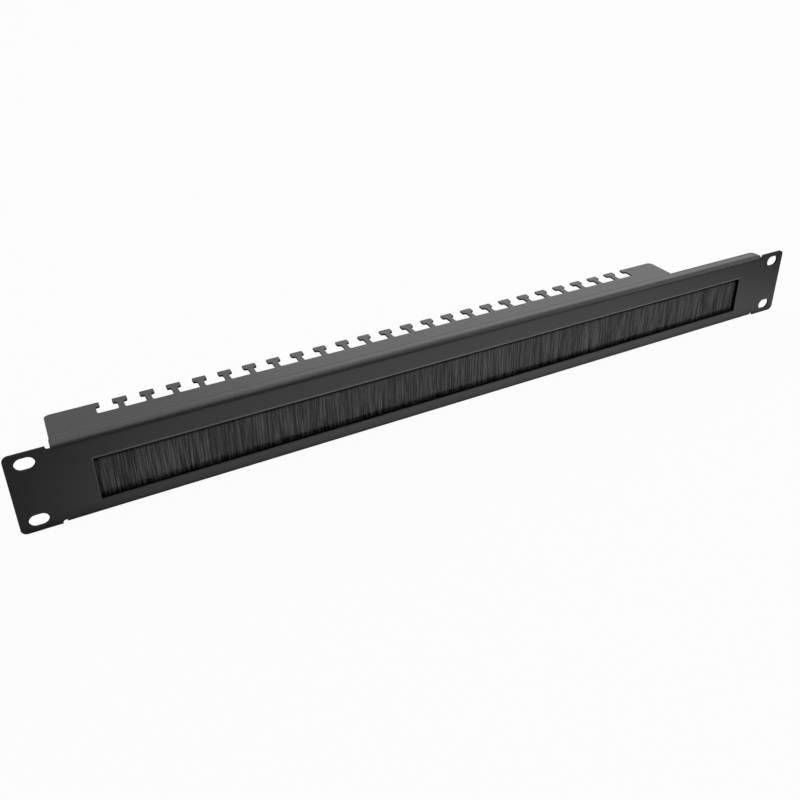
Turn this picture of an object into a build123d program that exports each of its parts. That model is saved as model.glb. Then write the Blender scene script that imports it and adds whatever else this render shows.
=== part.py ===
from build123d import *
import math
import os

# Rack brush strip panel: one folded sheet with a brush behind its window and a lacing tray behind it.
# X runs along the panel, Y back from the outer front face, Z up.
# The origin is the centre of the rack slot pattern on the front face.

# Folded sheet
panel_width = 482.6
panel_height = 43.6
sheet_thickness = 1.2
bend_inner_radius = 0.4
ear_width = 20.4
lip_depth = 8.0
lip_corner_radius = 3.0
tray_depth = 98.0
tray_corner_radius = 3.2
ear_corner_radius = 3.0

# Relief notches between the ears and the folds
relief_width = 2.0
relief_corner_radius = 1.0
relief_margin = 0.05

# Rack slots, to the 19 inch standard: 465.1 apart on a panel 482.6 wide
rack_slot_margin = 8.75
rack_spacing_z = 31.75
rack_slot_length = 9.0
rack_slot_width = 6.6

# Window in the face
window_side = 16.5
window_head = 13.0
window_foot = 7.3

# Lacing comb on the tray's rear edge
slot_count = 25
comb_end = 25.9
slot_length = 11.8
head_width = 8.3
head_depth = 4.7
stem_width = 3.5
head_rear_radius = 0.7
head_front_radius = 1.0

# Brush strip: channel, core wire and filaments
strip_overhang = 3.0
channel_lift = 0.4
channel_depth = 5.0
channel_height = 3.6
channel_wall = 0.5
channel_corner_radius = 0.9
channel_lip_height = 0.7
channel_mouth = 2.0
core_wire_diameter = 1.2
wire_clearance = 0.05
filament_clearance = 0.05
tip_overlap = 2.8
tuft_pitch = 5.4
tuft_bulge = 0.25
tuft_gap_width = 0.5
tuft_gap_height = 6.0
tip_variation = 0.3
variation_step = 2.4

# Clamp bar and its fasteners
clamp_thickness = 0.8
clamp_inner_radius = 0.4
clamp_top_margin = 0.2
clamp_grip = 2.8
clamp_hole_diameter = 3.4
stud_count = 5
stud_end = 17.4
stud_diameter = 2.5
stud_length = 5.2
stud_tip_chamfer = 0.3
washer_thickness = 0.5
washer_hole_diameter = 2.8
nut_across_flats = 5.0
nut_height = 2.0
nut_corner_chamfer = 0.3
nut_clearance = 0.1
thread_clearance = 0.05

# Derived places
face_back = sheet_thickness
bend_outer_radius = bend_inner_radius + sheet_thickness
folded_width = panel_width - 2 * ear_width
rack_spacing_x = panel_width - 2 * rack_slot_margin
panel_top = panel_height / 2
panel_bottom = -panel_height / 2
tray_top = panel_bottom + sheet_thickness
slot_pitch = (folded_width - 2 * comb_end) / slot_count
window_width = folded_width - 2 * window_side
window_top = panel_top - window_head
window_bottom = panel_bottom + window_foot
strip_length = window_width + 2 * strip_overhang
channel_bottom = window_top + channel_lift
channel_top = channel_bottom + channel_height
channel_back = face_back + channel_depth
channel_middle = face_back + channel_depth / 2
web_top = channel_top + clamp_thickness
clamp_top = panel_top - bend_outer_radius - clamp_top_margin
stud_height = web_top + clamp_inner_radius + nut_clearance + nut_across_flats / 2
stud_span = strip_length - 2 * stud_end
clamp_rear = face_back + clamp_thickness


def side_rectangle(y_low, y_high, z_low, z_high):
    """A rectangle in the side view, from its limits."""
    place = Pos((y_low + y_high) / 2, (z_low + z_high) / 2)
    return Plane.YZ * place * Rectangle(y_high - y_low, z_high - z_low)


def front_rectangle(x_low, x_high, z_low, z_high):
    """A rectangle in the front view, from its limits."""
    place = Pos((x_low + x_high) / 2, (z_low + z_high) / 2)
    return Plane.XZ * place * Rectangle(x_high - x_low, z_high - z_low)


def through_face(outline):
    """A cutter that passes through the face from in front to behind."""
    return extrude(outline, amount=3 * sheet_thickness, both=True)


def along_strip(section):
    """The brush strip's length of a section in the side view."""
    return extrude(section, amount=strip_length / 2, both=True)


def folded_body():
    """Face, lip and tray between the ears, from one bent section."""
    outer = side_rectangle(0, tray_depth, panel_bottom, panel_top)
    outer = fillet(outer.vertices().group_by(Axis.Y)[0], bend_outer_radius)
    inner = side_rectangle(face_back, 2 * tray_depth, tray_top, panel_top - sheet_thickness)
    inner = fillet(inner.vertices().group_by(Axis.Y)[0], bend_inner_radius)
    open_rear = side_rectangle(lip_depth, 2 * tray_depth, tray_top, 2 * panel_top)
    body = extrude(outer - inner - open_rear, amount=folded_width / 2, both=True)
    upright = body.edges().filter_by(Axis.Z)
    lip_ends = upright.filter_by_position(Axis.Z, 0, panel_top)
    body = fillet(lip_ends.group_by(Axis.Y)[-1], lip_corner_radius)
    tray_ends = body.edges().filter_by(Axis.Z).group_by(Axis.Y)[-1]
    return fillet(tray_ends, tray_corner_radius)


def ears():
    """Flat ends of the face, beyond the folds."""
    outline = front_rectangle(-panel_width / 2, panel_width / 2, panel_bottom, panel_top)
    outline = fillet(outline.vertices(), ear_corner_radius)
    outline -= front_rectangle(-folded_width / 2, folded_width / 2, panel_bottom, panel_top)
    return extrude(outline, amount=-sheet_thickness)


def relief_notches():
    """Four notches that free the ears from the folds."""
    depth = bend_outer_radius + relief_margin
    inside = folded_width / 2
    notch = front_rectangle(inside, inside + relief_width, panel_top - depth, panel_top + depth)
    corner = notch.vertices().group_by(Axis.X)[-1].sort_by(Axis.Z)[0]
    cutter = through_face(fillet(corner, relief_corner_radius))
    pair = cutter + mirror(cutter, Plane.YZ)
    return pair + mirror(pair, Plane.XY)


def rack_slots():
    """Four obround slots at the rack's screw places."""
    slot = Plane.XZ * SlotOverall(rack_slot_length, rack_slot_width)
    cutter = through_face(slot)
    places = [
        Pos(side * rack_spacing_x / 2, 0, level * rack_spacing_z / 2)
        for side in (-1, 1)
        for level in (-1, 1)
    ]
    return [place * cutter for place in places]


def lacing_slot():
    """One T-shaped slot: a narrow mouth at the rear edge and a wide pocket in front of it."""
    floor = tray_depth - slot_length
    neck = tray_depth - head_depth
    pocket_half = (slot_pitch - stem_width) / 2
    mouth_half = (slot_pitch - head_width) / 2
    right = [
        (pocket_half, floor),
        (pocket_half, neck),
        (mouth_half, neck),
        (mouth_half, tray_depth + head_depth),
    ]
    left = [(-x, y) for x, y in reversed(right)]
    outline = make_face(Polyline(*right, *left, close=True))
    neck_row = outline.vertices().group_by(Axis.Y)[1].sort_by(Axis.X)
    return fillet(neck_row[1:3], head_front_radius)


def cut_lacing_comb(body):
    """The row of lacing slots, with the teeth's rear corners rounded."""
    level = Pos(0, 0, tray_top + sheet_thickness)
    cutter = level * extrude(lacing_slot(), amount=-3 * sheet_thickness)
    first = -(slot_count - 1) * slot_pitch / 2
    body -= [Pos(first + i * slot_pitch, 0, 0) * cutter for i in range(slot_count)]
    limit = folded_width / 2 - comb_end
    corners = body.edges().filter_by(Axis.Z).group_by(Axis.Y)[-1]
    corners = corners.filter_by_position(Axis.X, -limit, limit)
    return fillet(corners, head_rear_radius)


def panel():
    """The whole folded sheet."""
    body = folded_body() + ears()
    half = window_width / 2
    window = front_rectangle(-half, half, window_bottom, window_top)
    body -= through_face(window)
    body -= relief_notches()
    body -= rack_slots()
    return cut_lacing_comb(body)


def channel_pocket(clearance):
    """Space inside the brush channel, shrunk all round by a clearance."""
    half = channel_depth / 2 - channel_wall - clearance
    low = channel_bottom + channel_lip_height + clearance
    high = channel_top - channel_wall - clearance
    pocket = side_rectangle(channel_middle - half, channel_middle + half, low, high)
    upper = pocket.vertices().group_by(Axis.Z)[-1]
    return fillet(upper, channel_corner_radius - channel_wall)


def brush_channel():
    """Rolled channel whose lips pinch the filaments."""
    outer = side_rectangle(face_back, channel_back, channel_bottom, channel_top)
    outer = fillet(outer.vertices().group_by(Axis.Z)[-1], channel_corner_radius)
    half = channel_mouth / 2
    low = channel_bottom - channel_lip_height
    high = channel_bottom + channel_height / 2
    mouth = side_rectangle(channel_middle - half, channel_middle + half, low, high)
    return along_strip(outer - channel_pocket(0) - mouth)


def wire_height():
    """Height of the core wire, in the middle of the channel's pocket."""
    low = channel_bottom + channel_lip_height
    return (low + channel_top - channel_wall) / 2


def core_wire():
    """Wire that the filaments are folded over."""
    place = Plane.YZ * Pos(channel_middle, wire_height())
    return along_strip(place * Circle(core_wire_diameter / 2))


def curtain_plan():
    """Plan of the filaments below the channel: a strip with one ridge a tuft on each side."""
    count = round(strip_length / tuft_pitch)
    pitch = strip_length / count
    half = channel_mouth / 2 - filament_clearance
    start = -strip_length / 2
    rear = []
    for i in range(count):
        rear.append((start + i * pitch, half))
        rear.append((start + (i + 0.5) * pitch, half + tuft_bulge))
    rear.append((-start, half))
    front = [(x, -y) for x, y in reversed(rear)]
    return Pos(0, channel_middle) * make_face(Polyline(*rear, *front, close=True))


def curtain_front(top):
    """Front view of the filaments: a long strip with a narrow gap between each pair of tufts."""
    count = round(strip_length / tuft_pitch)
    pitch = strip_length / count
    tip = window_bottom - tip_overlap
    start = -strip_length / 2
    points = [(start, top), (start, tip)]
    for i in range(1, count):
        x = start + i * pitch
        shift = math.sin(i * variation_step)
        low = tip + tip_variation * (1 + shift) / 2
        peak = tip + tuft_gap_height * (1 + shift / 3)
        points.append((x - tuft_gap_width / 2, low))
        points.append((x, peak))
        points.append((x + tuft_gap_width / 2, low))
    points.append((-start, tip))
    points.append((-start, top))
    return Plane.XZ * make_face(Polyline(*points, close=True))


def bristle_curtain():
    """Filaments: a bundle round the core wire, a neck through the lips and a hanging curtain."""
    half = channel_mouth / 2 - filament_clearance
    top = channel_bottom - filament_clearance
    bottom = window_bottom - tip_overlap
    wire_place = Plane.YZ * Pos(channel_middle, wire_height())
    wire_hole = wire_place * Circle(core_wire_diameter / 2 + wire_clearance)
    middle = channel_bottom + channel_height / 2
    neck = side_rectangle(channel_middle - half, channel_middle + half, top, middle)
    bundle = along_strip(channel_pocket(filament_clearance) + neck - wire_hole)
    plan = Pos(0, 0, bottom) * curtain_plan()
    ridged = extrude(plan, amount=top - bottom)
    combed = extrude(curtain_front(top), amount=2 * channel_depth, both=True)
    return bundle + (ridged & combed)


def stud_places():
    """Places along the panel of the clamp bar's studs."""
    step = stud_span / (stud_count - 1)
    return [-stud_span / 2 + i * step for i in range(stud_count)]


def on_stud_axis(x, y):
    """Frame on a stud's axis, with its own Z pointing to the rear."""
    return Plane(origin=(x, y, stud_height), x_dir=(1, 0, 0), z_dir=(0, 1, 0))


def clamp_bar():
    """Folded strip that holds the channel against the back of the face."""
    low = channel_top - clamp_grip
    outline = [
        (face_back, clamp_top),
        (face_back, channel_top),
        (channel_back, channel_top),
        (channel_back, low),
        (channel_back + clamp_thickness, low),
        (channel_back + clamp_thickness, web_top),
        (clamp_rear, web_top),
        (clamp_rear, clamp_top),
    ]
    section = make_face(Polyline(*outline, close=True))
    rear = channel_back + clamp_thickness
    inner = [v for v in section.vertices() if bend_corner(v, channel_back, channel_top)]
    inner += [v for v in section.vertices() if bend_corner(v, clamp_rear, web_top)]
    section = fillet(inner, clamp_inner_radius)
    outer = [v for v in section.vertices() if bend_corner(v, face_back, channel_top)]
    outer += [v for v in section.vertices() if bend_corner(v, rear, web_top)]
    section = fillet(outer, clamp_inner_radius + clamp_thickness)
    bar = along_strip(Plane.YZ * section)
    hole = Cylinder(clamp_hole_diameter / 2, 4 * clamp_thickness)
    bar -= [on_stud_axis(x, clamp_rear) * hole for x in stud_places()]
    return bar


def bend_corner(vertex, y, z):
    """Whether a corner of the clamp's section lies at a place."""
    return abs(vertex.X - y) < 0.01 and abs(vertex.Y - z) < 0.01


def weld_stud():
    """Threaded stud, along Z from its welded foot."""
    base = (Align.CENTER, Align.CENTER, Align.MIN)
    shank = Cylinder(stud_diameter / 2, stud_length, align=base)
    return chamfer(shank.edges().group_by(Axis.Z)[-1], stud_tip_chamfer)


def lock_washer():
    """Washer under a nut, along Z from its seat."""
    ring = Circle(nut_across_flats / 2) - Circle(washer_hole_diameter / 2)
    return extrude(ring, amount=washer_thickness)


def hex_nut():
    """Nut with turned-down corners, along Z from its seat."""
    corner_radius = nut_across_flats / math.sqrt(3)
    hexagon = RegularPolygon(corner_radius, 6)
    hexagon -= Circle(stud_diameter / 2 + thread_clearance)
    base = (Align.CENTER, Align.CENTER, Align.MIN)
    turned = Cylinder(corner_radius, nut_height, align=base)
    turned = chamfer(turned.edges().group_by(Axis.Z)[-1], nut_corner_chamfer)
    return extrude(hexagon, amount=nut_height) & turned


def on_each_stud(piece, y):
    """One copy of a fastener on each stud's axis."""
    return Compound(children=[on_stud_axis(x, y) * piece for x in stud_places()])


def write(name, shape):
    """One STEP file for a node."""
    export_step(shape, "parts/" + name + ".step")


os.makedirs("parts", exist_ok=True)
write("panel", panel())
write("brush_channel", brush_channel())
write("core_wire", core_wire())
write("bristle_curtain", bristle_curtain())
write("clamp_bar", clamp_bar())
write("weld_studs", on_each_stud(weld_stud(), face_back))
write("lock_washers", on_each_stud(lock_washer(), clamp_rear))
write("hex_nuts", on_each_stud(hex_nut(), clamp_rear + washer_thickness))
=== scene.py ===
"""Looks of the rack brush strip panel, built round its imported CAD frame.

Every length is in metres and every piece stands in the frame of the CAD model: X along the panel,
Y back from its front face, Z up.
"""

from __future__ import annotations

import logging
import math
from dataclasses import dataclass, field
from enum import Enum, IntEnum
from functools import cached_property
from typing import Any, Callable, Iterable, Union

import bmesh
import bpy
import numpy as np
from mathutils import Euler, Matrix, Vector


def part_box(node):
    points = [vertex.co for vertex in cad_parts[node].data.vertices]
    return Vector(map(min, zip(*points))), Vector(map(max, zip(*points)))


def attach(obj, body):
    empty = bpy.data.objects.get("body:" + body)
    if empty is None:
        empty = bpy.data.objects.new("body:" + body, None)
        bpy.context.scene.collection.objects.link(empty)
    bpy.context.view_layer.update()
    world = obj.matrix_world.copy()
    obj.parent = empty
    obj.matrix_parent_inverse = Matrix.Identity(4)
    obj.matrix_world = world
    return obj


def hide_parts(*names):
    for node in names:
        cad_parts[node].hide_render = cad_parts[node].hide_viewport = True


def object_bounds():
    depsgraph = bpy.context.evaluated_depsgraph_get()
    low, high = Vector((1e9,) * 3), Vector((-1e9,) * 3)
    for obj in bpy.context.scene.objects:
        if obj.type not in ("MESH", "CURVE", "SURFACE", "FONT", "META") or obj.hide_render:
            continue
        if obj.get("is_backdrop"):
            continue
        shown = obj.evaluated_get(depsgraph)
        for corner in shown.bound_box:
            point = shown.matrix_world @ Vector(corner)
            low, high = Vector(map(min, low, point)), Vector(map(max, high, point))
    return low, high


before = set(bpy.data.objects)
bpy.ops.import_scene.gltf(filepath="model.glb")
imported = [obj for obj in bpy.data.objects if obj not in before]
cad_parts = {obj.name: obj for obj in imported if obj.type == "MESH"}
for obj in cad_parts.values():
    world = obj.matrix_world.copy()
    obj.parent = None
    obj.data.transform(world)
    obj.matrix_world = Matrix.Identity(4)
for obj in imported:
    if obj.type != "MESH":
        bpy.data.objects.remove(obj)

MM = 0.001
BLACK = (0.0, 0.0, 0.0)
WHITE = (1.0, 1.0, 1.0)
log = logging.getLogger("brush_panel")


class Slot(Enum):
    """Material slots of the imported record."""

    COAT = "black_coat"
    FILAMENT = "filament"
    ZINC = "zinc_steel"


class Ray(Enum):
    """Kinds of ray that the studio's paper and sky tell apart."""

    CAMERA = "Is Camera Ray"
    GLOSSY = "Is Glossy Ray"


class SheetCoat(IntEnum):
    """Places of the folded sheet's coats in its list of materials: the cut faces' coat carries painted shade
    and the rim's coat a painted highlight.
    """

    FACE = 0
    CUT = 1
    RIM = 2


# Shader graphs


class Signal:
    """An output socket that takes part in Python arithmetic, one Math node for each operation."""

    def __init__(self, graph: Graph, socket: bpy.types.NodeSocket) -> None:
        """Wraps an output socket of one of a graph's nodes."""
        self.graph = graph
        self.socket = socket

    def _math(self, operation: str, left: Term, right: Term = 0.0) -> Signal:
        """Adds one Math node and gives its value."""
        return self.graph.node("ShaderNodeMath", {"operation": operation}, {0: left, 1: right})

    def __add__(self, other: Term) -> Signal:
        """self + other."""
        return self._math("ADD", self, other)

    def __radd__(self, other: Term) -> Signal:
        """other + self."""
        return self._math("ADD", other, self)

    def __sub__(self, other: Term) -> Signal:
        """self - other."""
        return self._math("SUBTRACT", self, other)

    def __rsub__(self, other: Term) -> Signal:
        """other - self."""
        return self._math("SUBTRACT", other, self)

    def __mul__(self, other: Term) -> Signal:
        """self * other."""
        return self._math("MULTIPLY", self, other)

    def __rmul__(self, other: Term) -> Signal:
        """other * self."""
        return self._math("MULTIPLY", other, self)

    def without_sign(self) -> Signal:
        """The value without its sign."""
        return self._math("ABSOLUTE", self)

    def at_most(self, limit: float) -> Signal:
        """The value, held at or below a limit."""
        return self._math("MINIMUM", self, limit)

    def joined(self, other: Signal, share: float) -> Signal:
        """This value by its share, plus another by the rest."""
        return self * share + other * (1 - share)

    def around(self, middle: float, spread: float) -> Signal:
        """A value from 0 to 1, spread evenly round a middle."""
        return self * spread + (middle - spread / 2)


Term = Union[Signal, float]
Triple = tuple[float, float, float]
Pairs = tuple[tuple[float, float], ...]


class Graph:
    """A node tree being filled, with one method for any node."""

    def __init__(self, tree: bpy.types.NodeTree) -> None:
        """Takes over a material's or the world's node tree, and empties it."""
        self.tree = tree
        self.tree.nodes.clear()

    def node(
        self,
        kind: str,
        settings: dict[str, Any] | None = None,
        inputs: dict[str | int, Any] | None = None,
        output: str | int = 0,
    ) -> Signal:
        """Adds a node, sets it up and then feeds its sockets.

        Args:
            kind: Blender's type name of the node.
            settings: the node's own properties; "stops" fills a colour ramp.
            inputs: a value or a signal for each named or numbered socket.
            output: the output wanted.

        Returns:
            That output as a signal.
        """
        made = self.tree.nodes.new(kind)
        for name, value in (settings or {}).items():
            if name == "stops":
                self._fill_ramp(made.color_ramp, value)
            else:
                setattr(made, name, value)
        for name, value in (inputs or {}).items():
            if isinstance(value, Signal):
                self.tree.links.new(value.socket, made.inputs[name])
            else:
                made.inputs[name].default_value = value
        return Signal(self, made.outputs[output] if len(made.outputs) else None)

    @staticmethod
    def _fill_ramp(ramp: bpy.types.ColorRamp, stops: Pairs) -> None:
        """Sets a ramp's stops.

        Args:
            ramp: the ramp, with its two first stops.
            stops: place and grey value of each stop, in order.
        """
        while len(ramp.elements) < len(stops):
            ramp.elements.new(1.0)
        for element, (place, grey) in zip(ramp.elements, stops):
            element.position = place
            element.color = (grey, grey, grey, 1.0)

    def place(self) -> Signal:
        """The surface point, in the frame of the CAD model."""
        return self.node("ShaderNodeTexCoord", output="Object")

    def axis(self, point: Signal, name: str) -> Signal:
        """A point's X, Y or Z."""
        return self.node("ShaderNodeSeparateXYZ", {}, {"Vector": point}, name)

    def vector(self, operation: str, *terms: Signal | Triple, output: str | int = 0) -> Signal:
        """Adds one Vector Math node."""
        return self.node("ShaderNodeVectorMath", {"operation": operation}, dict(enumerate(terms)), output)

    def noise(self, point: Signal, size: float, detail: float = 2.0, rough: float = 0.5) -> Signal:
        """Noise round 0.5 with features of a size in metres, and finer layers by number and strength."""
        inputs = {"Vector": point, "Scale": 1.0 / size, "Detail": detail, "Roughness": rough}
        return self.node("ShaderNodeTexNoise", {}, inputs, "Fac")

    def ramp(self, value: Signal, stops: Pairs) -> Signal:
        """A value passed through grey stops."""
        return self.node("ShaderNodeValToRGB", {"stops": stops}, {"Fac": value})

    def blend(self, factor: Term, low: Triple, high: Triple) -> Signal:
        """A colour between two linear ones, where a factor of 0 gives low and 1 gives high."""
        inputs = {"Factor": factor, "A": (*low, 1.0), "B": (*high, 1.0)}
        return self.node("ShaderNodeMix", {"data_type": "RGBA"}, inputs, "Result")

    def bump(self, height: Signal, distance: float) -> Signal:
        """A surface normal from a height, where 1 stands for the distance in metres."""
        return self.node("ShaderNodeBump", {}, {"Height": height, "Distance": distance})

    def ray_is(self, kind: Ray) -> Signal:
        """1 for rays of a kind, and 0 for the others."""
        return self.node("ShaderNodeLightPath", output=kind.value)

    def surface(self, shader: Signal, output: str = "ShaderNodeOutputMaterial") -> None:
        """Connects a shader to the tree's output."""
        self.node(output, {}, {"Surface": shader})


# Finishes


@dataclass(frozen=True)
class Finish:
    """What every finish shares: a name and a way to make its material."""

    name: str = "finish"

    def shader(self, graph: Graph) -> Signal:
        """The finish's shader. Each finish gives its own."""
        raise NotImplementedError

    def material(self) -> bpy.types.Material:
        """The material, made once.

        Returns:
            A node material that other pieces share.
        """
        known = bpy.data.materials.get(self.name)
        if known:
            return known
        made = bpy.data.materials.new(self.name)
        made.use_nodes = True
        graph = Graph(made.node_tree)
        graph.surface(self.shader(graph))
        return made


@dataclass(frozen=True)
class PowderCoat(Finish):
    """Fine satin powder coat: two near-black tones under a shallow orange peel."""

    name: str = "black_powder_coat"
    dark: Triple = (0.0060, 0.0060, 0.0062)
    light: Triple = (0.0098, 0.0098, 0.0102)
    roughness: float = 0.43
    roughness_spread: float = 0.10
    reflectance: float = 0.75
    peel_size: float = 0.9 * MM
    peel_depth: float = 0.014 * MM
    grain_size: float = 0.16 * MM
    cloud_size: float = 42 * MM
    cloud_in_tone: float = 0.7
    grain_in_gloss: float = 0.6
    peel_in_relief: float = 0.8

    def shader(self, graph: Graph) -> Signal:
        """Satin coat with peel, grain and slow changes of tone.

        Args:
            graph: the material's graph.

        Returns:
            The shader.
        """
        point = graph.place()
        peel = graph.noise(point, self.peel_size, detail=1.5)
        grain = graph.noise(point, self.grain_size, rough=0.6)
        cloud = graph.noise(point, self.cloud_size, detail=3.0)
        gloss = grain.joined(cloud, self.grain_in_gloss)
        inputs = {
            "Base Color": graph.blend(cloud.joined(grain, self.cloud_in_tone), self.dark, self.light),
            "Roughness": gloss.around(self.roughness, self.roughness_spread),
            "Specular IOR Level": self.reflectance,
            "Normal": graph.bump(peel.joined(grain, self.peel_in_relief), self.peel_depth),
        }
        return graph.node("ShaderNodeBsdfPrincipled", {}, inputs)


@dataclass(frozen=True)
class CutFaceShadedCoat(PowderCoat):
    """The coat on the sheet's cut faces: thinner and rougher, and darker and less reflective than the face
    coat as painted shade.
    """

    name: str = "cut_face_shaded_coat"
    dark: Triple = (0.0030, 0.0030, 0.0031)
    light: Triple = (0.0050, 0.0050, 0.0052)
    roughness: float = 0.55
    reflectance: float = 0.12


@dataclass(frozen=True)
class RimHighlightCoat(PowderCoat):
    """The coat that has drawn up into a smooth bead along the window's head, paler and more reflective than
    the face coat as a painted highlight.
    """

    name: str = "window_rim_painted_highlight"
    dark: Triple = (0.030, 0.030, 0.0305)
    light: Triple = (0.046, 0.046, 0.0466)
    roughness: float = 0.32
    reflectance: float = 1.0


@dataclass(frozen=True)
class NylonFilament(Finish):
    """Black nylon monofilament: streaks along the bristle that are partly painted sheen and shade, painted
    light that turns paler towards the tips, and painted shade close to the sheet.

    shade_top is a height above the middle of the panel, and shade_end a distance from it to each side.
    """

    name: str = "black_nylon"
    dark: Triple = (0.006, 0.006, 0.0062)
    light: Triple = (0.175, 0.175, 0.178)
    roughness: float = 0.36
    roughness_spread: float = 0.2
    reflectance: float = 0.8
    # Streaks: pale filament tones, partly painted sheen and shade between the filaments.
    streak_width: float = 0.45 * MM
    streak_length: float = 22 * MM
    streak_and_sheen_tones: Pairs = ((0.45, 0.0), (0.5, 0.18), (0.56, 1.0))
    ripple_size: float = 1.6 * MM
    ripple_depth: float = 0.012 * MM
    # Painted shade: under the window's head and at its sides the filaments turn to a dark matt shader.
    shade_top: float = 7.1 * MM
    shade_reach: float = 1.7 * MM
    shade_rise: Pairs = ((0.0, 0.0), (1.0, 1.0))
    shade_end: float = 204.8 * MM
    shade_width: float = 3.0 * MM
    shade_beside: Pairs = ((0.0, 0.0), (0.5, 0.35), (1.0, 0.95))
    # Painted light along the height: darkest under the window's head, paler towards the tips.
    painted_light_reach: float = 22.6 * MM
    painted_light_tones: Pairs = ((0.0, 0.35), (0.55, 0.5), (0.87, 0.62), (1.0, 1.0))
    painted_light_gain: float = 2.0

    def shader(self, graph: Graph) -> Signal:
        """Streaked nylon, mixed with a dark matt shader as painted shade where the sheet would shade it.

        Args:
            graph: the material's graph.

        Returns:
            The shader.
        """
        point = graph.place()
        ripple = graph.noise(point, self.ripple_size)
        inputs = {
            "Base Color": graph.blend(self.tone(graph, point), self.dark, self.light),
            "Roughness": ripple.around(self.roughness, self.roughness_spread),
            "Specular IOR Level": self.reflectance,
            "Normal": graph.bump(ripple, self.ripple_depth),
        }
        nylon = graph.node("ShaderNodeBsdfPrincipled", {}, inputs)
        # A dark matt shader, mixed in as painted shade.
        painted_shade = graph.node("ShaderNodeBsdfDiffuse", {}, {"Color": (*self.dark, 1.0)})
        return graph.node("ShaderNodeMixShader", {}, {0: self.shade(graph, point), 1: nylon, 2: painted_shade})

    def tone(self, graph: Graph, point: Signal) -> Signal:
        """Pale streaks along the bristles, partly painted sheen and shade between the filaments, under
        painted light that is darkest below the window's head and grows paler towards the tips.

        Args:
            graph: the material's graph.
            point: the surface point.

        Returns:
            The tone, where 0 is the dark colour.
        """
        along = graph.vector("MULTIPLY", point, (1.0, 1.0, self.streak_width / self.streak_length))
        streak = graph.noise(along, self.streak_width, detail=1.0, rough=0.6)
        # Painted light: the tone rises with the distance below the shade under the window's head.
        drop = (graph.axis(point, "Z") - self.shade_top) * (-1 / self.painted_light_reach)
        return graph.ramp(streak, self.streak_and_sheen_tones) * graph.ramp(drop, self.painted_light_tones) * self.painted_light_gain

    def shade(self, graph: Graph, point: Signal) -> Signal:
        """How much painted shade the filaments get near the window's head and sides.

        Args:
            graph: the material's graph.
            point: the surface point.

        Returns:
            The shade, from 0 to 1.
        """
        rise = (graph.axis(point, "Z") - (self.shade_top - self.shade_reach)) * (1 / self.shade_reach)
        across = graph.axis(point, "X").without_sign()
        reach = (across - (self.shade_end - self.shade_width)) * (1 / self.shade_width)
        return (graph.ramp(rise, self.shade_rise) + graph.ramp(reach, self.shade_beside)).at_most(1.0)


@dataclass(frozen=True)
class ZincPlate(Finish):
    """Bright zinc plate: faint spangle, rolling marks along the strip and a slight blue cast."""

    name: str = "bright_zinc"
    dark: Triple = (0.46, 0.47, 0.49)
    light: Triple = (0.66, 0.67, 0.69)
    roughness: float = 0.30
    roughness_spread: float = 0.16
    spangle_size: float = 0.8 * MM
    spangle_in_tone: float = 0.6
    mark_width: float = 0.12 * MM
    mark_length: float = 9 * MM
    mark_depth: float = 0.004 * MM

    def shader(self, graph: Graph) -> Signal:
        """Plated steel.

        Args:
            graph: the material's graph.

        Returns:
            The shader.
        """
        point = graph.place()
        along = graph.vector("MULTIPLY", point, (self.mark_width / self.mark_length, 1.0, 1.0))
        marks = graph.noise(along, self.mark_width, rough=0.6)
        spangle = graph.noise(point, self.spangle_size)
        inputs = {
            "Base Color": graph.blend(spangle.joined(marks, self.spangle_in_tone), self.dark, self.light),
            "Metallic": 1.0,
            "Roughness": spangle.around(self.roughness, self.roughness_spread),
            "Normal": graph.bump(marks, self.mark_depth),
        }
        return graph.node("ShaderNodeBsdfPrincipled", {}, inputs)


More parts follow.
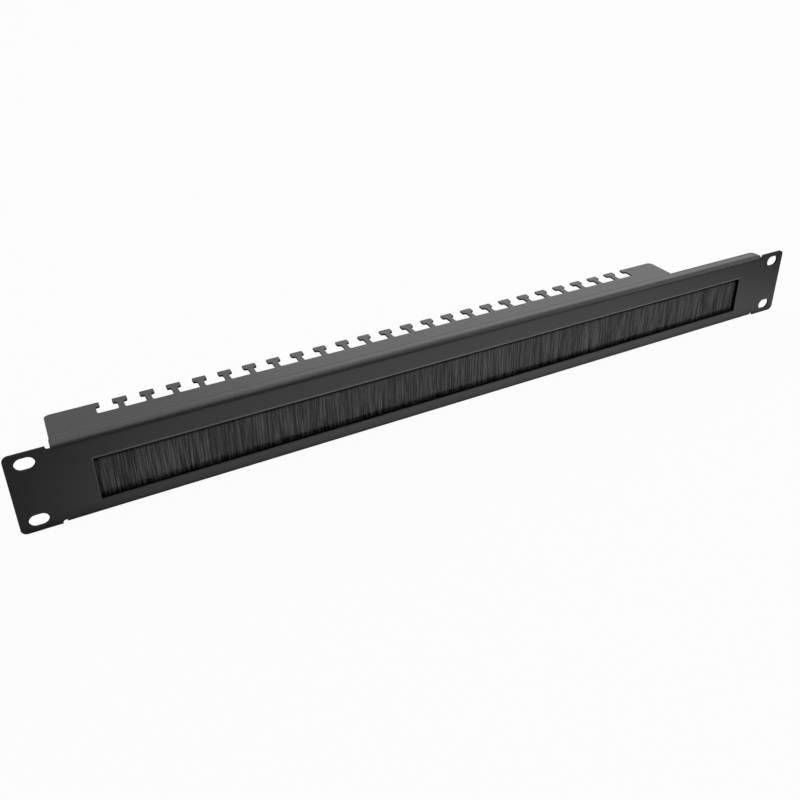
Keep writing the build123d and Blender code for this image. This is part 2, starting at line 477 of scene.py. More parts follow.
@dataclass(frozen=True)
class StudioPaper(Finish):
    """White paper floor: it looks white to the camera and still takes the object's shadow.

    Reflections see a painted pool of light in front of the panel, with a painted shadow close to the panel's
    foot.
    """

    name: str = "studio_paper"
    albedo: float = 0.88
    albedo_spread: float = 0.02
    glow_share: float = 0.95
    fibre_size: float = 3 * MM
    # Painted pool of light that reflections see on the paper, and painted shadow at the panel's foot.
    pool_place: tuple[float, float] = (0.038, -0.02)
    pool_reach: tuple[float, float] = (0.31, 0.16)
    pool_fall: Pairs = ((0.0, 1.0), (0.35, 0.93), (0.7, 0.7), (0.8, 0.5), (0.92, 0.25), (1.0, 0.18))
    foot_shadow_reach: float = 5 * MM
    foot_shadow_fall: Pairs = ((0.0, 0.2), (1.0, 1.0))

    def pool(self, graph: Graph) -> Signal:
        """How bright the paper is in a reflection, from 0 to 1: a painted pool of light, with a painted
        shadow at the panel's foot.

        Args:
            graph: the material's graph.

        Returns:
            The brightness.
        """
        point = graph.place()
        reach_x, reach_y = self.pool_reach
        from_middle = graph.vector("SUBTRACT", point, (*self.pool_place, 0.0))
        steps = graph.vector("MULTIPLY", from_middle, (1 / reach_x, 1 / reach_y, 0.0))
        distance = graph.vector("LENGTH", steps, output="Value")
        from_foot = graph.axis(point, "Y") * (-1 / self.foot_shadow_reach)
        return graph.ramp(distance, self.pool_fall) * graph.ramp(from_foot, self.foot_shadow_fall)

    def shader(self, graph: Graph) -> Signal:
        """Matt paper, lifted to white where the camera sees it and to its painted pool of light where a
        reflection does.

        Args:
            graph: the material's graph.

        Returns:
            The shader.
        """
        fibre = graph.noise(graph.place(), self.fibre_size)
        pale = (self.albedo,) * 3
        paler = (self.albedo + self.albedo_spread,) * 3
        paper = graph.node("ShaderNodeBsdfDiffuse", {}, {"Color": graph.blend(fibre, pale, paler)})
        # White for the camera; the painted pool of light and shadow for reflections.
        white_and_painted_pool = (graph.ray_is(Ray.CAMERA) + self.pool(graph)).at_most(1.0)
        glow = graph.node("ShaderNodeEmission", {}, {"Color": graph.blend(white_and_painted_pool, BLACK, WHITE)})
        seen = graph.ray_is(Ray.CAMERA) * self.glow_share + graph.ray_is(Ray.GLOSSY)
        return graph.node("ShaderNodeMixShader", {}, {0: seen, 1: paper, 2: glow})


@dataclass(frozen=True)
class GreyCloth(Finish):
    """Matt grey cloth of the studio's flag."""

    name: str = "grey_cloth"
    nap: Triple = (0.37, 0.37, 0.37)
    fold: Triple = (0.31, 0.31, 0.31)
    nap_size: float = 2 * MM

    def shader(self, graph: Graph) -> Signal:
        """Matt cloth."""
        tone = graph.blend(graph.noise(graph.place(), self.nap_size), self.fold, self.nap)
        return graph.node("ShaderNodeBsdfDiffuse", {}, {"Color": tone})


# Mesh and object helpers


def linked(name: str, data: bpy.types.ID) -> bpy.types.Object:
    """Makes an object and links it to the scene.

    Args:
        name: its name.
        data: its mesh, lamp or camera.

    Returns:
        The object.
    """
    made = bpy.data.objects.new(name, data)
    bpy.context.scene.collection.objects.link(made)
    return made


def new_piece(name: str, mesh: bpy.types.Mesh, finish: Finish, node: str) -> bpy.types.Object:
    """Makes a piece that stands for a CAD node.

    Args:
        name: the piece's name.
        mesh: its mesh, in the frame of the CAD model.
        finish: its finish.
        node: the CAD node that it stands for.

    Returns:
        The piece, riding on the model's one body.
    """
    piece = linked(name, mesh)
    mesh.materials.append(finish.material())
    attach(piece, "root")
    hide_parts(node)
    return piece


def grid_mesh(name: str, rings: np.ndarray, caps: bool) -> bpy.types.Mesh:
    """A mesh of many tubes, each a stack of closed rings.

    Args:
        name: the mesh's name.
        rings: points as an array of tubes, rings, points of a ring, and X, Y, Z.
        caps: whether each tube's two ends get a face.

    Returns:
        The mesh, shaded smooth.
    """
    tubes, stack, around, _ = rings.shape
    index = np.arange(tubes * stack * around).reshape(tubes, stack, around)
    ahead = np.roll(index, -1, axis=2)
    quads = np.stack([index[:, :-1], ahead[:, :-1], ahead[:, 1:], index[:, 1:]], axis=-1).reshape(-1, 4)
    loops = [quads.ravel()]
    totals = [np.full(len(quads), 4)]
    if caps:
        ends = np.concatenate([index[:, 0, ::-1], index[:, -1, :]])
        loops.append(ends.ravel())
        totals.append(np.full(len(ends), around))
    corner = np.concatenate(loops)
    total = np.concatenate(totals)
    starts = np.concatenate([[0], np.cumsum(total)[:-1]])
    mesh = bpy.data.meshes.new(name)
    mesh.vertices.add(index.size)
    mesh.vertices.foreach_set("co", rings.astype(np.float32).ravel())
    mesh.loops.add(len(corner))
    mesh.loops.foreach_set("vertex_index", corner.astype(np.int32))
    mesh.polygons.add(len(total))
    mesh.polygons.foreach_set("loop_start", starts.astype(np.int32))
    mesh.polygons.foreach_set("use_smooth", np.ones(len(total), dtype=bool))
    mesh.update(calc_edges=True)
    mesh.validate()
    return mesh


EdgeTest = Callable[[bmesh.types.BMEdge], bool]


@dataclass
class SoftenedNode:
    """A rigid CAD node's own shape with its bare edges rounded, as sheet metal has them."""

    node: str
    name: str
    finish: Finish
    slot: Slot
    edge_radius: float = 0.2 * MM
    edge_steps: int = 2
    round_profile: float = 0.5
    weld_distance: float = 0.002 * MM
    flat_angle: float = math.radians(0.4)
    sharp_angle: float = math.radians(40)
    normal_weight: int = 80
    extra_finishes: tuple[Finish, ...] = ()

    @property
    def source(self) -> bpy.types.Mesh:
        """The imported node's mesh, which is read and never changed."""
        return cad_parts[self.node].data

    def build(self) -> bpy.types.Object:
        """Copies the node's mesh, rounds its edges and dresses it.

        Returns:
            The finished piece.
        """
        work = self.cleaned()
        self.shape(work)
        self.round_edges(work, self.edge_radius, self.edge_steps)
        self.keep_in_box(work)
        for face in work.faces:
            face.smooth = True
        self.paint(work)
        mesh = bpy.data.meshes.new(self.name)
        work.to_mesh(mesh)
        work.free()
        piece = new_piece(self.name, mesh, self.finish, self.node)
        for finish in self.extra_finishes:
            mesh.materials.append(finish.material())
        normals = piece.modifiers.new("flat_faces", "WEIGHTED_NORMAL")
        normals.mode = "FACE_AREA"
        normals.weight = self.normal_weight
        normals.keep_sharp = True
        return piece

    def cleaned(self) -> bmesh.types.BMesh:
        """A copy of the node's mesh, welded and with its flat faces whole.

        Returns:
            The copy, to be shaped.
        """
        work = bmesh.new()
        work.from_mesh(self.source)
        bmesh.ops.remove_doubles(work, verts=work.verts, dist=self.weld_distance)
        bmesh.ops.dissolve_limit(work, angle_limit=self.flat_angle, verts=work.verts, edges=work.edges)
        return work

    def shape(self, work: bmesh.types.BMesh) -> None:
        """Changes to the shape before the edges are rounded. None by default."""

    def paint(self, work: bmesh.types.BMesh) -> None:
        """Gives faces one of the extra finishes. None by default."""

    def keep_in_box(self, work: bmesh.types.BMesh) -> None:
        """Draws back any point that the rounding has put outside the node's own box.

        Args:
            work: the node's mesh.
        """
        low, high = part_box(self.node)
        for vertex in work.verts:
            vertex.co = [min(max(value, least), most) for value, least, most in zip(vertex.co, low, high)]

    def round_edges(
        self, work: bmesh.types.BMesh, radius: float, steps: int, chosen: EdgeTest = lambda edge: True
    ) -> None:
        """Rounds the edges between faces that meet at a clear angle.

        Args:
            work: the mesh.
            radius: radius of the rounding.
            steps: number of faces round it.
            chosen: picks among those edges. All are rounded by default.
        """
        paired = [e for e in work.edges if len(e.link_faces) == 2 and chosen(e)]
        edges = [e for e in paired if e.calc_face_angle(0.0) > self.sharp_angle]
        rounding = {"offset": radius, "segments": steps, "profile": self.round_profile}
        bmesh.ops.bevel(work, geom=edges, affect="EDGES", **rounding)


# Sub-assemblies


@dataclass
class FoldedPanel(SoftenedNode):
    """Face, ears, lip and tray with the lacing comb, folded from one sheet.

    Tilts and walls are limits on the parts of a face's normal. Places closer than slack are one.
    """

    node: str = "panel"
    name: str = "folded_sheet"
    finish: Finish = field(default_factory=PowderCoat)
    slot: Slot = Slot.COAT
    edge_radius: float = 0.07 * MM
    extra_finishes: tuple[Finish, ...] = (CutFaceShadedCoat(), RimHighlightCoat())
    slack: float = 0.01 * MM
    fold_reach: float = 3.0 * MM
    fold_radius: float = 2.8 * MM
    fold_taper: float = 2.5 * MM
    skin_depth: float = 0.1 * MM
    rim_width: float = 1.1 * MM
    rim_depth: float = 0.27 * MM
    rim_steps: int = 6
    lip_lines: Pairs = ((0.0, 0.2 * MM), (1.0 * MM, 0.0), (2.0 * MM, 0.11 * MM), (4.0 * MM, 0.0))
    lip_tilt: tuple[float, float] = (0.01, 0.2)
    comb_depth: float = 12.5 * MM
    corner_height: float = 1.0 * MM
    corner_radius: float = 1.2 * MM
    corner_steps: int = 5
    head_tilt: float = 0.03
    side_tilt: float = 0.1
    end_wall: float = 0.7
    cut_wall: float = 0.3

    @cached_property
    def window(self) -> tuple[tuple[float, float], tuple[float, float]]:
        """The window's outline with its rim, from the sheet's corners on the face away from its folds.

        Returns:
            X and Z of its lower left and of its upper right corner.
        """
        points = [v.co for v in self.source.vertices if abs(v.co.y) < self.slack]
        fold = max(p.z for p in points) - self.fold_reach
        inside = [p for p in points if abs(p.x) < self.folded_half and abs(p.z) < fold]
        across = [p.x for p in inside]
        upright = [p.z for p in inside]
        rim = self.rim_width + 2 * self.slack
        return (min(across) - rim, min(upright) - rim), (max(across) + rim, max(upright) + rim)

    @cached_property
    def folded_half(self) -> float:
        """Half the width of the lip and the tray."""
        return max(v.co.x for v in self.source.vertices if v.co.y > self.fold_reach)

    def near_window(self, point: Vector) -> bool:
        """Whether a point of the face is in the window or on its rounded rim."""
        (left, foot), (right, head) = self.window
        return left < point.x < right and foot < point.z < head

    def shape(self, work: bmesh.types.BMesh) -> None:
        """Eases the upper fold and the lip's edge, and rounds the slots' inner corners and the window's rim.

        Args:
            work: the panel's mesh.
        """
        self.ease_fold(work)
        self.draw_lip(work)
        rear = max(v.co.y for v in work.verts)
        self.round_edges(work, self.corner_radius, self.corner_steps, lambda e: self.is_slot_corner(e, rear))
        self.round_edges(work, self.rim_width, self.rim_steps, self.is_window_rim)
        for vertex in work.verts:
            if vertex.co.y < self.rim_width + self.slack and self.near_window(vertex.co):
                share = vertex.co.y / self.rim_width
                vertex.co.y = self.rim_depth * (2 * share - share**2)

    @staticmethod
    def divide(work: bmesh.types.BMesh, place: Triple, normal: Triple) -> None:
        """Divides the faces that a plane crosses."""
        everything = [*work.verts, *work.edges, *work.faces]
        bmesh.ops.bisect_plane(work, geom=everything, plane_co=place, plane_no=normal)

    def ease_fold(self, work: bmesh.types.BMesh) -> None:
        """Widens the outer radius of the upper fold, away from the relief notches at its ends.

        Args:
            work: the panel's mesh.
        """
        inner = self.folded_half - self.fold_taper
        for side in (-1, 1):
            self.divide(work, (side * inner, 0, 0), (1, 0, 0))
        top = max(v.co.z for v in work.verts)
        face = [v.co for v in work.verts if v.co.y < self.slack and abs(v.co.x) < self.folded_half]
        radius = min(top - p.z for p in face if top - p.z > self.skin_depth)
        growth = self.fold_radius / radius
        for vertex in work.verts:
            back, depth = vertex.co.y, top - vertex.co.z
            in_fold = max(back, depth) < radius + self.slack
            on_skin = math.hypot(radius - back, radius - depth) > radius - self.skin_depth
            if in_fold and on_skin and abs(vertex.co.x) < inner + self.slack:
                vertex.co.y = back * growth
                vertex.co.z = top - depth * growth

    def draw_lip(self, work: bmesh.types.BMesh) -> None:
        """Gives the lip's top the shallow dip and ridge that shearing leaves along its rear edge.

        Args:
            work: the panel's mesh.
        """
        top = max(v.co.z for v in work.verts)
        end = max(v.co.y for v in work.verts if v.co.z > top - self.slack)
        backs, drops = zip(*self.lip_lines)
        for back in backs[1:]:
            self.divide(work, (0, end - back, 0), (0, 1, 0))
        for vertex in work.verts:
            if vertex.co.z > top - self.slack:
                vertex.co.z = top - float(np.interp(end - vertex.co.y, backs, drops))

    def paint(self, work: bmesh.types.BMesh) -> None:
        """Gives the cut faces their coat with painted shade and the window's rim its coat with a painted
        highlight, and keeps the lip's lines crisp.

        Args:
            work: the panel's mesh.
        """
        for face in work.faces:
            centre = face.calc_center_median()
            face.material_index = self.coat_of(centre, face.normal)
            if self.is_lip_strip(centre, face.normal):
                for edge in face.edges:
                    edge.smooth = False

    def is_lip_strip(self, centre: Vector, normal: Vector) -> bool:
        """Whether a face is one of the lip's slightly tilted strips."""
        on_lip = centre.z > self.window[1][1] + self.fold_reach and centre.y > self.fold_reach
        return on_lip and self.lip_tilt[0] < abs(normal.y) < self.lip_tilt[1]

    def coat_of(self, centre: Vector, normal: Vector) -> SheetCoat:
        """Which coat a face carries.

        Args:
            centre: the face's middle.
            normal: its normal.

        Returns:
            RIM, the coat with a painted highlight, on the rounded rim of the window's head and the last of
            the rim at its sides,
            CUT, the coat with painted shade, on the walls of the outline, the slots, the window and the
            comb, and FACE elsewhere.
        """
        by_window = self.near_window(centre)
        at_head = normal.z < -self.head_tilt
        at_side = abs(normal.x) > self.side_tilt and centre.y > self.rim_depth / 2
        if by_window and 0.0 < centre.y < self.rim_depth and (at_head or at_side):
            return SheetCoat.RIM
        if centre.y > self.fold_reach:
            is_wall = abs(normal.z) < self.cut_wall
        else:
            is_wall = abs(normal.y) < self.cut_wall and (by_window or abs(centre.x) > self.folded_half)
        return SheetCoat.CUT if is_wall or abs(normal.x) > self.end_wall else SheetCoat.FACE

    def is_window_rim(self, edge: bmesh.types.BMEdge) -> bool:
        """Whether an edge is on the front rim of the window."""
        return all(v.co.y < self.slack and self.near_window(v.co) for v in edge.verts)

    def is_slot_corner(self, edge: bmesh.types.BMEdge, rear: float) -> bool:
        """Whether an edge is an upright corner inside a lacing slot.

        Args:
            edge: the edge.
            rear: the tray's rear edge.

        Returns:
            True for the slots' inner corners.
        """
        start, end = (v.co for v in edge.verts)
        upright = abs(start.z - end.z) > self.corner_height
        return upright and rear - self.comb_depth < start.y < rear - self.corner_height


@dataclass
class ClampBar(SoftenedNode):
    """The coated strip that presses the brush's channel against the back of the face."""

    node: str = "clamp_bar"
    name: str = "clamp_strip"
    finish: Finish = field(default_factory=PowderCoat)
    slot: Slot = Slot.COAT
    edge_radius: float = 0.15 * MM


@dataclass
class BrushStrip:
    """The brush: filaments folded over a core wire and pinched in a rolled channel.

    Leg levels are shares of a filament's height, from its tip up to the wire.
    """

    channel_edge: float = 0.12 * MM
    wire_edge: float = 0.1 * MM
    filament_diameter: float = 0.25 * MM
    filament_pitch: float = 0.22 * MM
    place_scatter: float = 0.4
    layer_radii: tuple[float, ...] = (0.76 * MM, 0.88 * MM, 1.0 * MM, 1.1 * MM)
    layer_clumping: tuple[float, ...] = (0.0, 0.3, 0.65, 1.0)
    ring_points: int = 3
    leg_levels: tuple[float, ...] = (1.0, 0.8, 0.58, 0.34, 0.12)
    bend_power: float = 1.6
    fold_points: int = 3
    clump_pitch: tuple[float, float] = (0.6 * MM, 2.2 * MM)
    clump_pull: tuple[float, float] = (0.0, 0.24)
    lean_size: float = 26 * MM
    lean_reach: float = 0.5 * MM
    lean_overtones: tuple[float, ...] = (1, 2.3, 4.1)
    lean_height: float = 1.68
    stray_share: float = 0.1
    stray_reach: float = 1.6 * MM
    tip_share: float = 0.6
    tip_spread: float = 0.35 * MM
    tip_unevenness: float = 0.16 * MM
    clump_seed: int = 7
    lean_seed: int = 16
    filament: Finish = field(default_factory=NylonFilament)
    zinc: Finish = field(default_factory=ZincPlate)

    def build(self) -> list[bpy.types.Object]:
        """Builds the strip.

        Returns:
            Its pieces.
        """
        channel = SoftenedNode("brush_channel", "rolled_channel", self.zinc, Slot.ZINC, self.channel_edge)
        wire = SoftenedNode("core_wire", "drawn_wire", self.zinc, Slot.ZINC, self.wire_edge)
        pieces = [channel.build(), wire.build()]
        for number, (radius, clumping) in enumerate(zip(self.layer_radii, self.layer_clumping), 1):
            rings = self.layer_rings(radius, clumping, self.clump_seed + number)
            mesh = grid_mesh("filaments_%d" % number, rings, caps=True)
            pieces.append(new_piece(mesh.name, mesh, self.filament, "bristle_curtain"))
        return pieces

    def layer_rings(self, radius: float, clumping: float, seed: int) -> np.ndarray:
        """Rings of one layer of filaments, each folded over the core wire.

        Args:
            radius: the layer's bend radius round the wire.
            clumping: share of the clumps' pull that its front legs follow.
            seed: seed of the layer's scatter.

        Returns:
            Points as filaments, rings, points of a ring, and X, Y, Z.
        """
        low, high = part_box("bristle_curtain")
        wire_low, wire_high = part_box("core_wire")
        centre = (wire_low + wire_high) / 2
        rng = np.random.default_rng(seed)
        half = high.x - self.filament_diameter
        count = int(2 * half / self.filament_pitch)
        scatter = rng.uniform(-self.place_scatter, self.place_scatter, count)
        x = np.linspace(-half, half, count) + scatter * self.filament_pitch
        front = self.leg_path(x, -radius, centre, low.z, rng, clumping)
        rear = self.leg_path(x, radius, centre, low.z, rng, 0.0)
        angle = np.linspace(math.pi, 0.0, self.fold_points + 2)[None, 1:-1]
        over = (x[:, None], centre.y + radius * np.cos(angle), centre.z + radius * np.sin(angle))
        fold = np.stack(np.broadcast_arrays(*over), axis=-1)
        path = np.concatenate([front, fold, rear[:, ::-1]], axis=1)
        path[..., 0] = np.clip(path[..., 0], -half, half)
        return self.tube_rings(path, rng)

    def leg_path(
        self,
        x: np.ndarray,
        offset: float,
        centre: Vector,
        tip: float,
        rng: np.random.Generator,
        clumping: float,
    ) -> np.ndarray:
        """Centre lines of one leg of each filament, from its tip up to the wire.

        Args:
            x: place of each filament along the strip.
            offset: the leg's distance from the wire's centre, with its side as the sign.
            centre: the wire's centre.
            tip: height of the tips.
            rng: the layer's scatter.
            clumping: share of the clumps' pull that the leg follows.

        Returns:
            Points as filaments, levels, and X, Y, Z.
        """
        count = len(x)
        pull = self.clump_shift(x) * clumping
        lean = self.lean_wave(x) * self.lean_reach * clumping
        stray = (rng.random(count) < self.stray_share) * rng.normal(0, self.stray_reach, count)
        tip_z = tip + rng.uniform(0, 1, count) * self.tip_unevenness
        tip_reach = abs(offset) * rng.uniform(self.tip_share, 1.0, count)
        tip_reach += self.tip_spread * rng.uniform(0, 1, count)
        tip_y = centre.y + np.sign(offset) * tip_reach
        levels = []
        for share in self.leg_levels:
            bend = share**self.bend_power
            y = centre.y + offset + (tip_y - centre.y - offset) * bend
            z = centre.z + (tip_z - centre.z) * share
            levels.append(np.stack([x + (pull + lean + stray) * bend, y, z], axis=-1))
        return np.stack(levels, axis=1)

    def clump_shift(self, x: np.ndarray) -> np.ndarray:
        """How far each tip is drawn to the middle of its clump.

        Args:
            x: place of each filament along the strip.

        Returns:
            The shift of each tip along X.
        """
        rng = np.random.default_rng(self.clump_seed)
        least, most = self.clump_pitch
        start, end = x.min() - most, x.max() + most
        middles = start + np.cumsum(rng.uniform(least, most, int((end - start) / least)))
        pulls = rng.uniform(*self.clump_pull, len(middles))
        after = np.clip(np.searchsorted(middles, x), 1, len(middles) - 1)
        nearest = np.where(x - middles[after - 1] < middles[after] - x, after - 1, after)
        return (middles[nearest] - x) * pulls[nearest]

    def lean_wave(self, x: np.ndarray) -> np.ndarray:
        """The slow wave in which the filaments lean along the strip, from -1 to 1.

        Args:
            x: place of each filament along the strip.

        Returns:
            The wave at each place.
        """
        rng = np.random.default_rng(self.lean_seed)
        turn = 2 * math.pi
        waves = [
            np.sin(turn * x / (self.lean_size / step) + rng.uniform(0, turn)) / step
            for step in self.lean_overtones
        ]
        return sum(waves) / self.lean_height

    def tube_rings(self, path: np.ndarray, rng: np.random.Generator) -> np.ndarray:
        """Rings round each point of the filaments' paths, which lie near the YZ plane.

        Args:
            path: points as filaments, points, and X, Y, Z.
            rng: the layer's scatter.

        Returns:
            Points as filaments, rings, points of a ring, and X, Y, Z.
        """
        along = np.gradient(path, axis=1)
        along /= np.linalg.norm(along, axis=-1, keepdims=True)
        side = np.broadcast_to(np.array([1.0, 0.0, 0.0]), along.shape)
        side = side - along * np.sum(side * along, axis=-1, keepdims=True)
        side /= np.linalg.norm(side, axis=-1, keepdims=True)
        other = np.cross(along, side)
        start = rng.uniform(0, 2 * math.pi, len(path))[:, None, None]
        turn = start + np.linspace(0, 2 * math.pi, self.ring_points, endpoint=False)[None, None, :]
        radius = self.filament_diameter / 2
        spoke = np.cos(turn)[..., None] * side[:, :, None] + np.sin(turn)[..., None] * other[:, :, None]
        return path[:, :, None] + radius * spoke


RingMaker = Callable[[Vector, Vector], np.ndarray]


@dataclass
class StudFasteners:
    """The clamp bar's fixing: threaded studs, split washers and hex nuts, one set a stud."""

    least_spacing: float = 10 * MM
    sharp_angle: float = math.radians(35)
    thread_pitch: float = 0.45 * MM
    thread_depth: float = 0.26 * MM
    thread_slope: float = 1.5
    thread_crest: float = 0.25
    thread_steps: int = 8
    thread_turn: int = 24
    tip_taper: float = 0.35 * MM
    nut_turn: int = 60
    nut_face_share: float = 0.95
    nut_bore_share: float = 0.52
    chamfer_slope: float = math.tan(math.radians(30))
    bore_flare: float = 0.2 * MM
    washer_bore_share: float = 0.56
    washer_gap: float = math.radians(14)
    washer_gap_place: float = math.radians(60)
    washer_twist: float = math.radians(9)
    washer_turn: int = 48
    washer_bevel: float = 0.06 * MM
    zinc: Finish = field(default_factory=ZincPlate)

    def build(self) -> list[bpy.types.Object]:
        """Builds the studs, washers and nuts at the CAD fasteners' places.

        Returns:
            One piece for each kind.
        """
        makers: dict[str, tuple[str, RingMaker, bool]] = {
            "weld_studs": ("threaded_studs", self.stud_rings, True),
            "lock_washers": ("split_washers", self.washer_rings, True),
            "hex_nuts": ("chamfered_nuts", self.nut_rings, False),
        }
        return [self.group(node, *maker) for node, maker in makers.items()]

    def group(self, node: str, name: str, maker: RingMaker, caps: bool) -> bpy.types.Object:
        """One fastener on each stud, as one piece.

        Args:
            node: the CAD node that it stands for.
            name: the piece's name.
            maker: gives one fastener's rings from its box.
            caps: whether its ends are closed.

        Returns:
            The piece.
        """
        rings = np.stack([maker(low, high) for low, high in self.boxes(node)])
        mesh = grid_mesh(name, rings, caps)
        piece = new_piece(name, mesh, self.zinc, node)
        mesh.set_sharp_from_angle(angle=self.sharp_angle)
        return piece

    def boxes(self, node: str) -> list[tuple[Vector, Vector]]:
        """The box of each solid of a CAD node that repeats along the panel.

        Args:
            node: the node's name.

        Returns:
            Lowest and highest corner of each solid.
        """
        points = np.array([v.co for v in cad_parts[node].data.vertices])
        points = points[np.argsort(points[:, 0])]
        breaks = np.where(np.diff(points[:, 0]) > self.least_spacing)[0] + 1
        return [(Vector(part.min(0)), Vector(part.max(0))) for part in np.split(points, breaks)]

    def stud_rings(self, low: Vector, high: Vector) -> np.ndarray:
        """A threaded stud: rings along Y whose radius follows the thread.

        Args:
            low: lowest corner of the stud's box.
            high: highest corner.

        Returns:
            Points as rings, points of a ring, and X, Y, Z.
        """
        radius = (high.x - low.x) / 2
        count = int((high.y - low.y) / self.thread_pitch * self.thread_steps)
        y = np.linspace(low.y, high.y, count)[:, None]
        angle = np.linspace(0, 2 * math.pi, self.thread_turn, endpoint=False)[None, :]
        phase = np.mod(y / self.thread_pitch - angle / (2 * math.pi), 1.0)
        groove = np.clip(np.abs(2 * phase - 1) * self.thread_slope - self.thread_crest, 0, 1)
        limit = radius - np.clip(y - (high.y - self.tip_taper), 0, None)
        r = np.minimum(radius - self.thread_depth * groove, limit)
        return self.about_axis(low, high, r, angle, y)

    def nut_rings(self, low: Vector, high: Vector) -> np.ndarray:
        """A hex nut with turned corners and a flared bore.

        Args:
            low: lowest corner of the nut's box.
            high: highest corner.

        Returns:
            Points as rings, points of a ring, and X, Y, Z.
        """
        flat = (high.z - low.z) / 2
        angle = np.linspace(0, 2 * math.pi, self.nut_turn, endpoint=False)
        sector = np.mod(angle + math.pi / 6 - math.pi / 2, math.pi / 3) - math.pi / 6
        hexagon = flat / np.cos(sector)
        face = flat * self.nut_face_share
        drop = (hexagon - face) * self.chamfer_slope
        bore = flat * self.nut_bore_share
        flare = self.bore_flare
        inward = [(bore + flare, 0), (bore, flare), (bore, (high.y - low.y) / 2)]
        corner = [(face, 0), (hexagon, drop)]
        outline = [(r, low.y + h) for r, h in [*reversed(inward), *corner]]
        outline += [(r, high.y - h) for r, h in [*reversed(corner), *inward]]
        radii, heights = (np.stack([value + 0 * angle for value in values]) for values in zip(*outline))
        return self.about_axis(low, high, radii, angle[None, :], heights)

    def washer_rings(self, low: Vector, high: Vector) -> np.ndarray:
        """A split spring washer: a square section swept round, with a slanting gap.

        Args:
            low: lowest corner of the washer's box.
            high: highest corner.

        Returns:
            Points as places round the washer, points of the section, and X, Y, Z.
        """
        outer = (high.x - low.x) / 2
        inner = outer * self.washer_bore_share
        b = self.washer_bevel
        section = [
            (inner + b, low.y),
            (outer - b, low.y),
            (outer, low.y + b),
            (outer, high.y - b),
            (outer - b, high.y),
            (inner + b, high.y),
            (inner, high.y - b),
            (inner, low.y + b),
        ]
        radii, heights = np.array(section).T
        angle = np.linspace(self.washer_gap / 2, 2 * math.pi - self.washer_gap / 2, self.washer_turn)
        slant = self.washer_twist * (heights - (low.y + high.y) / 2) / (high.y - low.y)
        turned = angle[:, None] + slant + self.washer_gap_place
        return self.about_axis(low, high, radii, turned, heights)

    @staticmethod
    def about_axis(
        low: Vector, high: Vector, radius: np.ndarray, angle: np.ndarray, y: np.ndarray
    ) -> np.ndarray:
        """Points round a fastener's axis, which runs along Y.

        Args:
            low: lowest corner of the fastener's box.
            high: highest corner.
            radius: distance from the axis.
            angle: angle round it.
            y: place along it.

        Returns:
            The points, with X, Y, Z last.
        """
        centre = (low + high) / 2
        radius, angle, y = np.broadcast_arrays(radius, angle, y)
        return np.stack([centre.x + radius * np.sin(angle), y, centre.z + radius * np.cos(angle)], axis=-1)


# Studio


@dataclass(frozen=True)
class Softbox:
    """A flat lamp that faces the object, as bright all over as a surface of that radiance."""

    name: str
    place: Triple
    size: tuple[float, float]
    radiance: float

    def build(self, target: Triple) -> None:
        """Hangs the lamp.

        Args:
            target: the point that it faces.
        """
        lamp = bpy.data.lights.new(self.name, "AREA")
        lamp.shape = "RECTANGLE"
        lamp.size, lamp.size_y = self.size
        lamp.energy = self.radiance * math.pi * self.size[0] * self.size[1]
        holder = linked(self.name, lamp)
        holder.location = self.place
        holder.rotation_euler = (Vector(target) - Vector(self.place)).to_track_quat("-Z", "Y").to_euler()


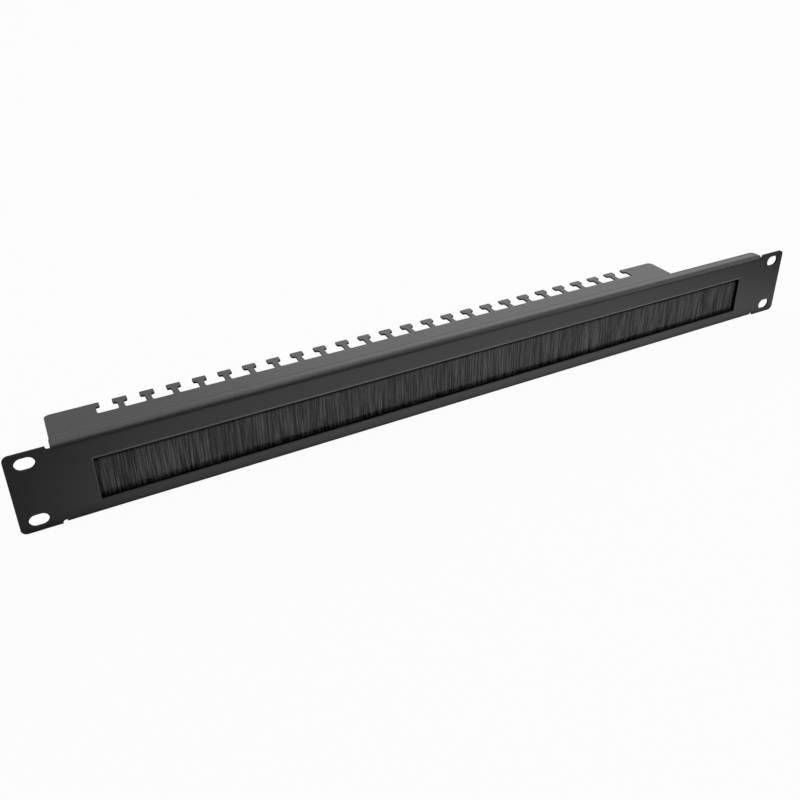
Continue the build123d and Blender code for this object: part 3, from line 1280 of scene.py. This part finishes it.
@dataclass
class Studio:
    """White paper floor, a pale sky, three softboxes and a grey flag."""

    floor_size: tuple[float, float] = (12.0, 12.0)
    ambient: float = 0.4
    mirrored_sky: float = 0.75
    target: Triple = (0.0, 0.03, 0.0)
    lamps: tuple[Softbox, ...] = (
        Softbox("rear_softbox", (1.45, 2.1, 1.35), (2.3, 1.6), 0.92),
        Softbox("top_softbox", (0.0, 0.3, 1.8), (1.5, 1.5), 0.8),
        Softbox("front_softbox", (1.5, -1.1, 0.8), (1.2, 1.0), 1.2),
    )
    flag_place: Triple = (0.0, -2.0, 1.2)
    flag_size: tuple[float, float] = (5.0, 2.4)
    flag_turn: float = math.radians(90)
    paper: Finish = field(default_factory=StudioPaper)
    cloth: Finish = field(default_factory=GreyCloth)

    def build(self, floor_height: float) -> None:
        """Sets the stage.

        Args:
            floor_height: height of the surface that the object rests on.
        """
        self.backdrop("floor", self.floor_size, floor_height, self.paper)
        for lamp in self.lamps:
            lamp.build(self.target)
        self.hang_flag()
        self.light_world()

    @staticmethod
    def backdrop(name: str, size: tuple[float, float], height: float, finish: Finish) -> bpy.types.Object:
        """Makes a flat rectangle that belongs to the stage.

        Args:
            name: its name.
            size: its width and length.
            height: its points' height above its own origin.
            finish: its finish.

        Returns:
            The rectangle, lying level.
        """
        x, y = size[0] / 2, size[1] / 2
        corners = [(-x, -y, height), (x, -y, height), (x, y, height), (-x, y, height)]
        mesh = bpy.data.meshes.new(name)
        mesh.from_pydata(corners, [], [(0, 1, 2, 3)])
        mesh.materials.append(finish.material())
        sheet = linked(name, mesh)
        sheet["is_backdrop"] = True
        return sheet

    def hang_flag(self) -> None:
        """Hangs a grey cloth in front, out of the camera's sight, which keeps the upper fold dark."""
        flag = self.backdrop("grey_flag", self.flag_size, 0.0, self.cloth)
        flag.location = self.flag_place
        flag.rotation_euler = (self.flag_turn, 0.0, 0.0)
        flag.visible_camera = False

    def light_world(self) -> None:
        """A sky that looks white and lights the scene at a plain level."""
        world = bpy.data.worlds.new("studio_sky")
        bpy.context.scene.world = world
        world.use_nodes = True
        graph = Graph(world.node_tree)
        sky, white = (
            graph.node("ShaderNodeBackground", {}, {"Color": (*WHITE, 1.0), "Strength": strength})
            for strength in (self.ambient, 1.0)
        )
        seen = graph.ray_is(Ray.CAMERA) + graph.ray_is(Ray.GLOSSY) * self.mirrored_sky
        mixed = graph.node("ShaderNodeMixShader", {}, {0: seen.at_most(1.0), 1: sky, 2: white})
        graph.surface(mixed, "ShaderNodeOutputWorld")


@dataclass
class PhotoCamera:
    """The photograph's camera, from a fit on the rack slots, edges and comb."""

    place: Triple = (-0.21893, -0.34390, 0.24247)
    turn_degrees: Triple = (62.504, 0.750, -27.195)
    lens_mm: float = 37.758
    sensor_mm: float = 36.0
    shift_up: float = -0.1018
    nearest: float = 0.01

    def build(self) -> None:
        """Places the camera and makes it the scene's own."""
        camera = bpy.data.cameras.new("photo_camera")
        camera.lens = self.lens_mm
        camera.sensor_width = self.sensor_mm
        camera.sensor_fit = "HORIZONTAL"
        camera.shift_y = self.shift_up
        camera.clip_start = self.nearest
        holder = linked(camera.name, camera)
        holder.location = self.place
        holder.rotation_euler = Euler([math.radians(a) for a in self.turn_degrees])
        bpy.context.scene.camera = holder


def report(pieces: Iterable[bpy.types.Object]) -> None:
    """Logs the number of triangles of each piece.

    Args:
        pieces: the object's pieces.
    """
    for piece in pieces:
        piece.data.calc_loop_triangles()
        log.info("%s: %d triangles", piece.name, len(piece.data.loop_triangles))


def main() -> None:
    logging.basicConfig(level=logging.INFO, format="%(name)s %(message)s")
    cad_box = [list(corner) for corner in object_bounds()]
    PhotoCamera().build()
    Studio().build(cad_box[0][2])
    pieces = [FoldedPanel().build(), ClampBar().build()]
    pieces.extend(BrushStrip().build())
    pieces.extend(StudFasteners().build())
    report(pieces)
    bpy.context.scene.view_settings.view_transform = "Standard"


if __name__ == "__main__":
    main()
